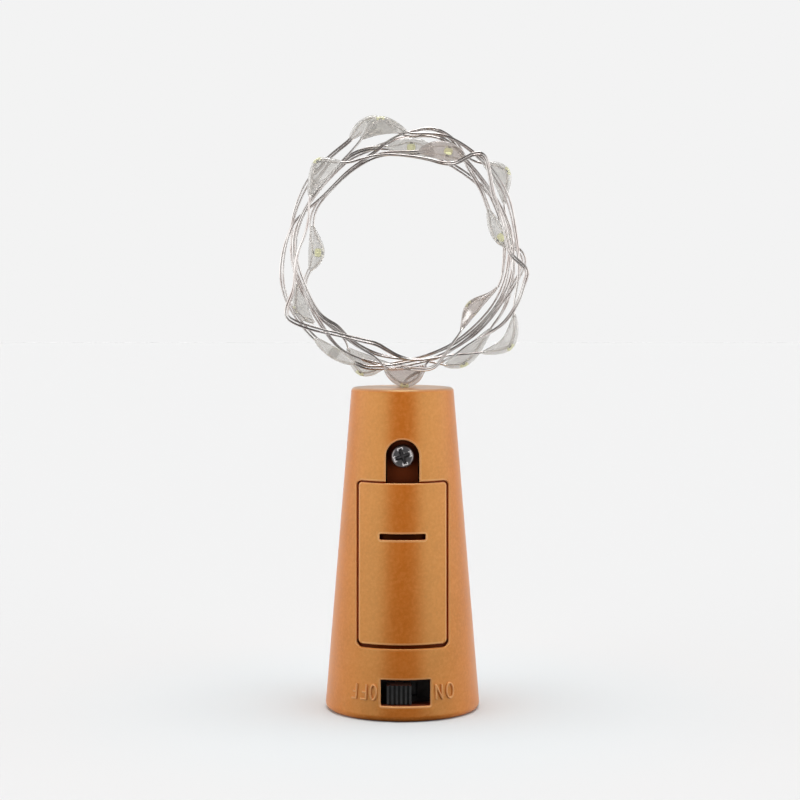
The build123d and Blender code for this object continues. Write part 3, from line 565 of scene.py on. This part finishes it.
def cork_plastic(name):
    """The cork's plastic: painted outside and bare where cut through, with painted shade in cuts and painted
    highlights.
    """
    material, n = new_material(name)
    where = n.place()
    x, y, z = n.split(where)
    taper = (BASE_RADIUS - NECK_RADIUS) / CORK_HEIGHT
    skin = n.math("SUBTRACT", BASE_RADIUS * MM, n.math("MULTIPLY", z, taper))
    depth = n.math("SUBTRACT", skin, n.length(x, y))
    between = n.math("MULTIPLY", n.ramp_mm(z, PAINTED_TOP, 1.0, 0.0), n.ramp_mm(z, PAINTED_FOOT))
    inside = n.math("MULTIPLY", n.ramp_mm(depth, BARE_DEPTH), between)
    # Raised letters get a painted highlight
    proud_highlight = n.ramp_mm(depth, PROUD_DEPTH, 1.0, 0.0)
    cloud = n.noise(where, 160.0, 3.0, 0.55)
    grain = n.noise(where, 2000.0, 3.0, 0.6)
    paint = n.mix(n.ramp(cloud, 0.3, 0.7), PAINT, PAINT_CLOUD)
    paint = n.mix(n.ramp(grain, 0.42, 0.72, 0.0, 0.55), paint, PAINT_LIGHT_GRAIN)
    paint = n.mix(n.ramp(grain, 0.26, 0.48, 0.35, 0.0), paint, PAINT_DARK_GRAIN)
    # Painted highlight on the front edges of the openings and on the raised letters
    rim_highlight_share = n.math("MULTIPLY", cork_rim_highlights(n, x, y, z), HIGHLIGHT_SHARE)
    painted_highlight_share = n.math("ADD", rim_highlight_share, n.math("MULTIPLY", proud_highlight, HIGHLIGHT_SHARE), clamp=True)
    paint = n.mix(painted_highlight_share, paint, PAINTED_HIGHLIGHT)
    paint = n.mix(n.math("MULTIPLY", n.ramp_mm(z, TOP_FACE), TOP_SHARE), paint, PAINT_TOP)
    # Cut walls: bare plastic, with painted shade in the lower gap, the slot and the recess floor
    by_switch = n.ramp_mm(z, SWITCH_WALLS, 1.0, 0.0)
    slot_shade = n.math("SUBTRACT", n.ramp_mm(depth, SLOT_DEPTH), by_switch, clamp=True)
    bare_and_shade = n.mix(n.ramp_mm(z, LOWER_GAP, 1.0, 0.0), BARE_SIDE_GAP, SHADED_LOWER_GAP)
    bare_and_shade = n.mix(n.ramp_mm(z, UPPER_GAP), bare_and_shade, BARE_UPPER_GAP)
    bare_and_shade = n.mix(slot_shade, bare_and_shade, SHADED_SLOT)
    bare_and_shade = n.mix(by_switch, bare_and_shade, BARE_BY_SWITCH)
    bare_and_shade = n.mix(n.ramp_mm(depth, RECESS_DEPTH), bare_and_shade, BARE_AND_SHADED_RECESS)
    n.surface(
        Base_Color=n.mix(inside, paint, bare_and_shade),
        Roughness=n.ramp(grain, 0.3, 0.7, 0.28, 0.36),
        IOR=1.5,
        Specular_IOR_Level=1.0,
        Specular_Tint=n.mix(inside, PAINT_GLOSS, SHADED_CUT_GLOSS),
        Normal=n.bump(grain, 0.05, 0.00005),
    )
    return material


def plain_plastic(name, light, dark, rough=(0.35, 0.5)):
    """Moulded plastic: a slow change of shade, fine grain, and a satin finish."""
    material, n = new_material(name)
    where = n.place()
    grain = n.noise(where, 1500.0, 2.0)
    n.surface(
        Base_Color=n.mix(n.ramp(n.noise(where, 250.0), 0.35, 0.65), light, dark),
        Roughness=n.ramp(grain, 0.3, 0.7, *rough),
        Normal=n.bump(grain, 0.15, 0.00004),
    )
    return material


def metal(name, light, dark, rough=(0.2, 0.4), scale=700.0, bump=0.1):
    """Bare metal with stains and fine scratches."""
    material, n = new_material(name)
    where = n.place()
    stain = n.noise(where, scale, 4.0, 0.6)
    n.surface(
        Base_Color=n.mix(n.ramp(stain, 0.35, 0.7), light, dark),
        Metallic=1.0,
        Roughness=n.ramp(stain, 0.3, 0.7, *rough),
        Normal=n.bump(n.noise(where, 5.0 * scale, 2.0), bump, 0.00004),
    )
    return material


def knob_plastic(name):
    """Switch knob: painted highlight on its ribs, a brown painted reflection on top, painted shade in grooves
    and behind.
    """
    material, n = new_material(name)
    where = n.place()
    _, y, _ = n.split(where)
    depth = n.math("ADD", y, KNOB_FRONT * MM)
    grain = n.noise(where, 1500.0, 2.0)
    # Rib faces paler as a painted highlight, and the grooves and all behind them near black as painted shade
    lit_rib_faces = n.mix(n.ramp(grain, 0.35, 0.65), rgb(0.046, 0.047, 0.047), rgb(0.034, 0.034, 0.035))
    knob = n.mix(n.ramp_mm(depth, KNOB_GROOVE), lit_rib_faces, rgb(0.004, 0.004, 0.004))
    # Faces that look up get a brown painted reflection of the cork
    _, _, upward = n.split(n.add("ShaderNodeNewGeometry").outputs["Normal"])
    n.surface(
        Base_Color=n.mix(n.ramp(upward, 0.6, 0.9), knob, rgb(0.240, 0.105, 0.075)),
        Roughness=n.ramp(grain, 0.3, 0.7, 0.32, 0.44),
        Normal=n.bump(grain, 0.15, 0.00004),
    )
    return material


def screw_steel(name):
    """Door screw: a dark stained face, with painted glints at the ends of its cross and an edge darkened as
    painted shade.
    """
    material, n = new_material(name)
    where = n.place()
    across, _, height = n.split(where)
    up = n.math("SUBTRACT", height, SCREW_Z * MM)
    turn_cos = math.cos(CROSS_TURN)
    turn_sin = math.sin(CROSS_TURN)
    along_one = n.math("ADD", n.math("MULTIPLY", across, turn_cos), n.math("MULTIPLY", up, turn_sin))
    along_other = n.math("SUBTRACT", n.math("MULTIPLY", up, turn_cos), n.math("MULTIPLY", across, turn_sin))
    one = n.math("ABSOLUTE", along_one)
    other = n.math("ABSOLUTE", along_other)
    past_ends = [n.math("SUBTRACT", arm, CROSS_HALF * MM) for arm in (one, other)]
    past_sides = [n.math("SUBTRACT", arm, CROSS_ARM * MM) for arm in (other, one)]
    arms = [n.math("MAXIMUM", end, side) for end, side in zip(past_ends, past_sides)]
    off_cross = n.math("ABSOLUTE", n.math("MINIMUM", *arms))
    stain = n.noise(where, 1300.0, 4.0, 0.6)
    at_end = n.ramp_mm(n.math("MAXIMUM", one, other), CROSS_END)
    at_side = n.ramp(stain, 0.52, 0.62, 0.0, 0.5)
    on_line = n.ramp_mm(off_cross, GLINT_LINE, 1.0, 0.0)
    # Painted glints, near white and rougher, at the cross's ends and in spots along its sides
    painted_glint = n.math("MULTIPLY", on_line, n.math("MAXIMUM", at_end, at_side))
    at_edge = n.ramp_mm(n.length(across, up), HEAD_EDGE)
    steel = n.mix(n.ramp(stain, 0.35, 0.7), rgb(0.30, 0.29, 0.295), rgb(0.17, 0.16, 0.165))
    # The head's edge is darkened as painted shade, to tone down its reflection
    steel = n.mix(at_edge, steel, rgb(0.20, 0.175, 0.17))
    n.surface(
        Base_Color=n.mix(painted_glint, steel, rgb(0.95, 0.93, 0.93)),
        Metallic=n.math("SUBTRACT", 1.0, n.math("MULTIPLY", painted_glint, 0.6)),
        Roughness=n.math("ADD", n.ramp(stain, 0.3, 0.7, 0.30, 0.45), n.math("MULTIPLY", painted_glint, 0.25)),
        Normal=n.bump(n.noise(where, 6000.0, 2.0), 0.2, 0.00004),
    )
    return material


def hot_glue(name):
    """Hot glue: milky and a little clear."""
    material, n = new_material(name)
    cloud = n.noise(n.place(), 900.0, 3.0)
    n.surface(
        Base_Color=n.mix(cloud, rgb(0.78, 0.75, 0.66), rgb(0.68, 0.64, 0.54)),
        Roughness=n.ramp(cloud, 0.3, 0.7, 0.18, 0.35),
        Transmission_Weight=0.35,
        IOR=1.48,
        Normal=n.bump(cloud, 0.3, 0.0002),
    )
    return material


def resistor_finish(name):
    """Resistor: tan body with colour bands along its length, and tinned leads."""
    low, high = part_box("series_resistor")
    material, n = new_material(name)
    where = n.place()
    _, _, height = n.split(where)
    along = n.ramp(height, low.z, high.z)
    body = n.mix(n.noise(where, 600.0), rgb(0.62, 0.47, 0.28), rgb(0.52, 0.38, 0.22))
    for place, band_colour in RESISTOR_BANDS:
        body = n.mix(n.math("LESS_THAN", n.distance(along, place), BAND_HALF), body, band_colour)
    on_lead = n.math("GREATER_THAN", n.distance(along, 0.5), LEAD_FROM)
    n.surface(
        Base_Color=n.mix(on_lead, body, rgb(0.60, 0.59, 0.57)),
        Metallic=on_lead,
        Roughness=n.ramp(n.noise(where, 1500.0), 0.3, 0.7, 0.3, 0.45),
    )
    return material


def silver_wire(name):
    """Silvered wire, with a faint coppery tint in the enamel, painted paler where it lies in resin."""
    material, n = new_material(name)
    attribute = n.add("ShaderNodeAttribute")
    attribute.attribute_name = "in_resin"
    covered = attribute.outputs["Fac"]
    stain = n.noise(n.place(), 350.0, 4.0, 0.6)
    silver = n.mix(n.ramp(stain, 0.35, 0.7), rgb(0.69, 0.665, 0.645), rgb(0.525, 0.462, 0.438))
    n.surface(
        # Painted paler and rougher where the wire lies in resin
        Base_Color=n.mix(covered, silver, rgb(0.95, 0.91, 0.88)),
        Metallic=1.0,
        Roughness=n.math("ADD", n.ramp(stain, 0.3, 0.7, 0.05, 0.12), n.math("MULTIPLY", covered, 0.2)),
    )
    return material


def phosphor_finish(name):
    """Phosphor of the light chips, with a faint painted glow that makes up for light the resin keeps from
    them.
    """
    material, n = new_material(name)
    speck = n.noise(n.place(), 5000.0, 2.0)
    n.surface(
        Base_Color=n.mix(speck, rgb(0.86, 0.86, 0.46), rgb(0.82, 0.82, 0.56)),
        Roughness=n.ramp(speck, 0.3, 0.7, 0.35, 0.5),
        # Painted glow that stands in for the light the resin keeps from the chips
        Emission_Color=rgb(0.80, 0.80, 0.46),
        Emission_Strength=0.35,
    )
    return material


def resin(name, light, dark):
    """Resin of the light drops, a little milky under a glossy skin."""
    material, n = new_material(name)
    ripple = n.noise(n.place(), 700.0, 2.0)
    n.surface(
        Base_Color=n.mix(ripple, light, dark),
        Roughness=n.ramp(ripple, 0.35, 0.7, 0.03, 0.10),
        Transmission_Weight=0.74,
        IOR=1.3,
        Coat_Weight=1.0,
        Coat_IOR=1.6,
        Coat_Roughness=0.05,
        Normal=n.bump(ripple, 0.2, 0.0002),
    )
    return material


# Finishes by name: two shades and, where they aren't the usual ones, roughness, scale and bump
FINISHES = [
    (cork_plastic, "cork_plastic"),
    (plain_plastic, "dark_plastic", rgb(0.200, 0.040, 0.012), rgb(0.140, 0.030, 0.010)),
    (plain_plastic, "black_plastic", rgb(0.020, 0.021, 0.022), rgb(0.012, 0.012, 0.013)),
    # The switch's face behind the knob, near black as painted shade
    (plain_plastic, "shade_plastic", rgb(0.006, 0.006, 0.006), rgb(0.004, 0.004, 0.004), (0.6, 0.75)),
    (plain_plastic, "chip_base", rgb(0.93, 0.92, 0.90), rgb(0.88, 0.87, 0.85)),
    (plain_plastic, "red_insulation", rgb(0.42, 0.02, 0.015), rgb(0.33, 0.015, 0.012)),
    (plain_plastic, "black_insulation", rgb(0.022, 0.022, 0.024), rgb(0.014, 0.014, 0.015)),
    (metal, "cell_steel", rgb(0.72, 0.71, 0.69), rgb(0.60, 0.59, 0.57), (0.15, 0.28), 400.0),
    (metal, "nickel", rgb(0.66, 0.62, 0.56), rgb(0.48, 0.45, 0.41), (0.2, 0.35)),
    (metal, "brass", rgb(0.72, 0.52, 0.22), rgb(0.50, 0.34, 0.13), (0.22, 0.4)),
    (metal, "solder", rgb(0.34, 0.33, 0.31), rgb(0.16, 0.15, 0.14), (0.3, 0.5), 2500.0, 0.3),
    (knob_plastic, "knob_plastic"),
    (screw_steel, "screw_steel"),
    (hot_glue, "glue"),
    (resistor_finish, "resistor"),
    (silver_wire, "silver_wire"),
    (phosphor_finish, "phosphor"),
    (resin, "clear_resin", rgb(0.87, 0.855, 0.83), rgb(0.80, 0.78, 0.75)),
    # The second resin is the clear one painted darker as shade, for three drops
    (resin, "dark_resin", rgb(0.76, 0.70, 0.665), rgb(0.66, 0.60, 0.565)),
]
materials = {name: make(name, *looks) for make, name, *looks in FINISHES}

# Each CAD node shows the finish of its slot in the record; the switch has a knob with painted highlight
# and shade, and a face behind it darkened as painted shade
NODE_FINISH = {"switch_slider": "knob_plastic", "switch_cover": "shade_plastic"}
slot_of = {entry["node"]: entry["material_slot"] for entry in frame["record"]["subparts"]}
for node_name, node in nodes.items():
    node.data.materials.clear()
    node.data.materials.append(materials[NODE_FINISH.get(node_name, slot_of[node_name])])

# The string's line: lead and ring as one smooth spline. The ring's angles go on rising from turn to turn.
ring_nodes = []
light_indexes = []
turned = RING_START
for stretch in RING_ROUTE + [STRING_TAIL]:
    for angle, radius, *forward in stretch:
        while angle < turned:
            angle += 360
        turned = angle
        ring_nodes.append((turned, radius, forward[0] if forward else 0.0))
    if stretch is not STRING_TAIL:
        light_indexes.append(len(ring_nodes) - 1)
route_end = turned


def ring_point(turned, radius, forward):
    """A point of the ring, in a layer that goes from front to back along the string."""
    share = (turned - RING_START) / (route_end - RING_START)
    layer = RING_FRONT + (RING_BACK - RING_FRONT) * share - forward
    angle = math.radians(turned)
    radius *= 1 + layer / CAMERA_AWAY
    return (RING_MIDDLE_X + radius * math.cos(angle), layer, RING_MIDDLE_Z + radius * math.sin(angle))


control = [Vector(p) for p in LEAD_ROUTE] + [Vector(ring_point(*entry)) for entry in ring_nodes]
light_controls = [control[len(LEAD_ROUTE) + index] for index in light_indexes]

route_curve = bpy.data.curves.new("string_route", "CURVE")
route_curve.dimensions = "3D"
route_curve.resolution_u = POINTS_PER_SPAN
spline = route_curve.splines.new("NURBS")
spline.points.add(len(control) - 1)
for point, place in zip(spline.points, control):
    point.co = (*(place * MM), 1.0)
spline.order_u = 3
spline.use_endpoint_u = True
route_object = link(bpy.data.objects.new("string_route", route_curve))
route_mesh = bpy.data.meshes.new_from_object(route_object)
line = [Vector(v.co) / MM for v in route_mesh.vertices]
bpy.data.objects.remove(route_object)
bpy.data.meshes.remove(route_mesh)
line_length = [0.0]
for start_point, end_point in zip(line, line[1:]):
    line_length.append(line_length[-1] + (end_point - start_point).length)
light_points = [min(range(len(line)), key=lambda i: (line[i] - place).length) for place in light_controls]

DEPTH_AXIS = Vector((0, 1, 0))


def line_frame(index):
    """Heading, and the two directions across the string: in the plane of the ring, and to the back."""
    low = max(0, index - 1)
    high = min(len(line) - 1, index + 1)
    heading = (line[high] - line[low]).normalized()
    across = heading.cross(DEPTH_AXIS).normalized()
    back = across.cross(heading).normalized()
    return heading, across, back


# Twist of the pair of wires at each light, and how it turns between them
twist_marks = [(0.0, math.radians(TWIST_START))]
for number, index in enumerate(light_points, start=1):
    wanted = 0.0 if number in FLAT_LIGHTS else 90.0
    last_twist = math.degrees(twist_marks[-1][1])
    half_turns = math.ceil((last_twist + TWIST_LEAST - wanted) / TWIST_HALF_TURN)
    twist_marks.append((line_length[index], math.radians(wanted + TWIST_HALF_TURN * half_turns)))
twist_marks.append((line_length[-1] + 1.0, twist_marks[-1][1] + math.radians(TWIST_END)))


def twist_at(distance):
    """Turn of the pair round the string's line, in radians."""
    for (low, low_twist), (high, high_twist) in zip(twist_marks, twist_marks[1:]):
        if low <= distance <= high:
            free_run = min(TWIST_FREE_RUN, TWIST_FREE_SHARE * (high - low))
            share = (distance - low - free_run) / max(1e-6, high - low - 2 * free_run)
            return low_twist + (high_twist - low_twist) * smooth_step(share)
    return twist_marks[-1][1]


def nearness(distance, steepness=1):
    """1 at a light's chip, or all through its resin where steep, and 0 outside the resin."""
    share = 0.0
    for index, (before, after, *_) in zip(light_points, DROPS):
        away = distance - line_length[index]
        share = max(share, smooth_step(steepness * (1.0 - (away / after if away > 0 else -away / before))))
    return share


def spread_at(distance):
    """Half the distance between the two wires."""
    wander = math.sin(distance * WANDER_FAST) * math.sin(distance * WANDER_SLOW)
    loose = PAIR_HALF + PAIR_WANDER * wander
    return loose + (PAIR_HALF_AT_LIGHT - loose) * nearness(distance)


# The two wires, in one mesh that knows where they lie in resin
verts = []
faces = []
in_resin = []
for side in (-1, 1):
    start = len(verts)
    for index, point in enumerate(line):
        _, across, back = line_frame(index)
        covered = nearness(line_length[index], RESIN_EDGE)
        radius = WIRE_RADIUS * (1 - WIRE_THINNER_IN_RESIN * covered)
        twist = twist_at(line_length[index])
        offset = spread_at(line_length[index]) * side
        middle = point + (across * math.cos(twist) + back * math.sin(twist)) * offset
        for corner in range(WIRE_SIDES):
            angle = math.tau * corner / WIRE_SIDES
            verts.append(middle + (across * math.cos(angle) + back * math.sin(angle)) * radius)
            in_resin.append(covered)
    faces += ring_faces(start, len(line), WIRE_SIDES)
wires = mesh_object("string_wires", verts, faces)
wires.data.materials.append(materials["silver_wire"])
wires.data.attributes.new("in_resin", "FLOAT", "POINT").data.foreach_set("value", in_resin)
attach(wires, "housing")
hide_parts("string_lead", "string_coil")


def power(value, exponent):
    """A power that keeps the value's sign."""
    return math.copysign(abs(value) ** exponent, value)


# Light drops: clear resin round each chip, drawn across the inside of the string's bend
chip_places = []
for number, index in enumerate(light_points, start=1):
    lies_flat = number in FLAT_LIGHTS
    before, after, half_wide, fill = DROPS[number - 1]
    covered_line = [i for i in range(len(line)) if -before <= line_length[i] - line_length[index] <= after]
    first, last = covered_line[0], covered_line[-1]
    chord_start, chord_end = line[first], line[last]
    chip_heading, chip_across, _ = line_frame(index)
    bend = (chord_start + chord_end) / 2 - line[index]
    inward = 1.0 if bend.dot(chip_across) > 0 else -1.0
    bent = min(1.0, bend.length / DROP_FULL_BEND)
    half_deep = FLAT_DROP_HALF_DEEP if lies_flat else DROP_HALF_DEEP
    verts = []
    for ring in range(DROP_RINGS + 1):
        share = ring / DROP_RINGS
        place = first + (last - first) * share
        low = min(int(place), len(line) - 2)
        point = line[low].lerp(line[low + 1], place - low)
        _, across, _ = line_frame(min(len(line) - 1, round(place)))
        along = 2 * share - 1
        swell = max(0.0, 1 - along * along) ** DROP_SWELL
        chord = chord_start.lerp(chord_end, share)
        wide = DROP_END + (half_wide - DROP_END) * swell
        deep = DROP_END + (half_deep - DROP_END) * swell
        outer = point - across * inward * wide
        inner_wide = wide * (1 - DROP_INSIDE_NARROWER * bent)
        inner = point.lerp(chord, fill * bent) + across * inward * inner_wide
        for corner in range(DROP_SIDES):
            angle = math.tau * corner / DROP_SIDES
            level_across = power(math.cos(angle), DROP_SQUARE_ACROSS)
            level_deep = power(math.sin(angle), DROP_SQUARE_DEEP)
            thick = deep * level_deep * (1 - DROP_INSIDE_THINNER * bent * (1 - level_across))
            verts.append((outer + inner) / 2 + (outer - inner) / 2 * level_across + DEPTH_AXIS * thick)
    drop = mesh_object(f"light_drop_{number:02d}", verts, ring_faces(0, DROP_RINGS + 1, DROP_SIDES))
    turn_outwards(drop)
    smoother = drop.modifiers.new("smooth", "SUBSURF")
    smoother.levels = 1
    smoother.render_levels = 1
    drop.data.materials.append(materials["dark_resin" if number in SHADED_LIGHTS else "clear_resin"])
    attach(drop, "housing")
    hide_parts(f"led_bead_{number:02d}")
    chip_normal = -chip_across * inward
    if lies_flat:
        chip_normal = DEPTH_AXIS if number in BACK_LIGHTS else -DEPTH_AXIS
    chip_places.append((line[index], chip_heading, chip_across if lies_flat else DEPTH_AXIS, chip_normal))


class Lumps:
    """Points and faces of rounded blocks that go into one mesh."""

    def __init__(self):
        self.verts = []
        self.faces = []

    def add(self, middle, axes, half_sizes, square):
        """A rounded block: a sphere pulled towards a box along three axes."""
        start = len(self.verts)
        for row in range(LUMP_ROWS + 1):
            polar = math.pi * row / LUMP_ROWS
            for column in range(LUMP_COLUMNS):
                around = math.tau * column / LUMP_COLUMNS
                flat = math.sin(polar)
                ball = (flat * math.cos(around), flat * math.sin(around), math.cos(polar))
                offset = Vector((0, 0, 0))
                for axis, half, value in zip(axes, half_sizes, ball):
                    offset += axis * half * power(value, square)
                self.verts.append(middle + offset)
        for row in range(LUMP_ROWS):
            for column in range(LUMP_COLUMNS):
                a = start + row * LUMP_COLUMNS + column
                b = start + row * LUMP_COLUMNS + (column + 1) % LUMP_COLUMNS
                self.faces.append((a, a + LUMP_COLUMNS, b + LUMP_COLUMNS, b))

    def piece(self, name, finish):
        piece = mesh_object(name, self.verts, self.faces)
        piece.data.materials.append(materials[finish])
        turn_outwards(piece, merge=True)
        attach(piece, "housing")
        return piece


# Chips with their plates and solder, one mesh each for all lights; the plates that show from the front are
# pale, and the other plates are dark solder that also stands in as painted shade beside their chips
chip_lumps = Lumps()
solder_lumps = Lumps()
back_lumps = Lumps()
for number, (middle, heading, pair, normal) in enumerate(chip_places, start=1):
    axes = (heading, pair, normal)
    chip_lumps.add(middle + normal * CHIP_RAISED, axes, CHIP_HALF, CHIP_SQUARE)
    for side in (-1, 1):
        spot = middle + pair * side * (PAIR_HALF_AT_LIGHT - SOLDER_INSET) + normal * SOLDER_RAISED
        solder_lumps.add(spot, axes, SOLDER_HALF, SOLDER_SQUARE)
    if number in BACK_LIGHTS:
        back_lumps.add(middle + normal * BACK_RAISED, axes, BACK_HALF, PLATE_SQUARE)
    else:
        solder_lumps.add(middle + normal * PLATE_RAISED, axes, PLATE_HALF, PLATE_SQUARE)
chips = chip_lumps.piece("light_chips", "phosphor")
solder = solder_lumps.piece("light_solder", "solder")
backs = back_lumps.piece("light_backs", "chip_base")
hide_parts("led_chips")


def cork_radius(height):
    return BASE_RADIUS - (BASE_RADIUS - NECK_RADIUS) * height / CORK_HEIGHT


def straight(*corners):
    """Points along a stroke of straight runs, given as (degrees, height), and that it isn't closed."""
    points = [corners[0]]
    for start, end in zip(corners, corners[1:]):
        arc = math.radians(end[0] - start[0]) * cork_radius(start[1])
        steps = max(2, round(math.hypot(arc, end[1] - start[1]) / LETTER_STEP))
        for step in range(1, steps + 1):
            share = step / steps
            points.append((start[0] + (end[0] - start[0]) * share, start[1] + (end[1] - start[1]) * share))
    return points, False


def oval(left, right):
    """Points round an oval between two angles in degrees, and that it is closed."""
    middle = (LETTER_TOP + LETTER_BOTTOM) / 2
    half_height = (LETTER_TOP - LETTER_BOTTOM) / 2
    points = []
    for step in range(OVAL_POINTS):
        angle = math.tau * step / OVAL_POINTS
        side = (left + right) / 2 + (right - left) / 2 * math.cos(angle)
        points.append((side, middle + half_height * math.sin(angle)))
    return points, True


def letter_f(stem, tip):
    """Strokes of an F that stands on its head, from the angles of its stem and of its longer bar's tip."""
    middle = LETTER_BOTTOM + LETTER_F_MIDDLE * (LETTER_TOP - LETTER_BOTTOM)
    short_tip = stem + LETTER_F_SHORT * (tip - stem)
    return [straight((stem, LETTER_TOP), (stem, LETTER_BOTTOM), (tip, LETTER_BOTTOM)),
            straight((stem, middle), (short_tip, middle))]


# OFF and ON beside the switch, set upside down on the cork as in the photograph
strokes = [
    *letter_f(-36.2, -40.2),
    *letter_f(-27.8, -32.4),
    oval(-24.4, -19.8),
    straight((25.5, LETTER_BOTTOM), (25.5, LETTER_TOP), (30.4, LETTER_BOTTOM), (30.4, LETTER_TOP)),
    oval(34.4, 40.6),
]
verts = []
faces = []
for points, closed in strokes:
    places = []
    for degrees, height in points:
        angle = math.radians(degrees)
        outward = Vector((math.sin(angle), -math.cos(angle), 0))
        places.append((outward * (cork_radius(height) - LETTER_SUNK) + Vector((0, 0, height)), outward))
    count = len(places)
    start = len(verts)
    for index, (place, outward) in enumerate(places):
        if closed:
            heading = places[(index + 1) % count][0] - places[index - 1][0]
        else:
            heading = places[min(count - 1, index + 1)][0] - places[max(0, index - 1)][0]
        sideways = heading.normalized().cross(outward).normalized()
        for side, rise in STROKE_PROFILE:
            raised = outward * rise * (LETTER_HEIGHT + LETTER_SUNK)
            verts.append(place + sideways * side * LETTER_WIDTH + raised)
    faces += ring_faces(start, count, len(STROKE_PROFILE), closed)
letters = mesh_object("switch_letters", verts, faces)
turn_outwards(letters)
letters.data.materials.append(materials["cork_plastic"])
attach(letters, "housing")
